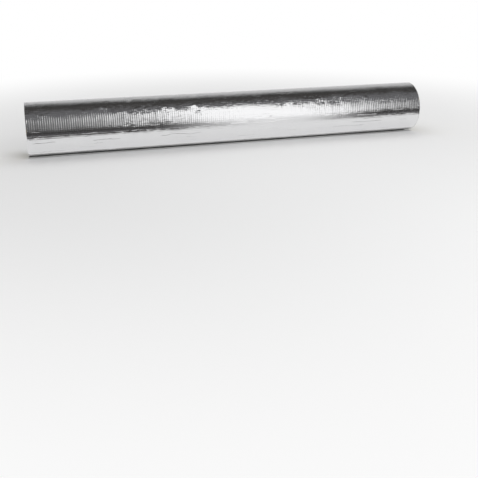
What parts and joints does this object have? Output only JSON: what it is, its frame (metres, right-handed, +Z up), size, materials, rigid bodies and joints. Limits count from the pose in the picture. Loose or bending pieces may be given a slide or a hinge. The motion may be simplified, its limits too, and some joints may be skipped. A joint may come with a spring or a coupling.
{
  "type": "mineral wool pipe section",
  "caption": "Foil-faced stone wool pipe insulation section, slit lengthwise to snap over a pipe, with a self-adhesive foil overlap flap and its release liner.",
  "frame": {"origin": "on the floor under the middle of the section, at the centre of the foot of the bounding box", "axes": "+X along the section and its bore, +Y away from the free edge of the flap, +Z up"},
  "size_m": [1, 0.1286, 0.1292],
  "materials": {
    "stone_wool": "matte",
    "foil": "polished",
    "liner": "satin"
  },
  "bodies": {
    "root": {"wool_section": "stone_wool", "foil_facing": "foil", "release_liner": "liner"}
  },
  "joints": []
}
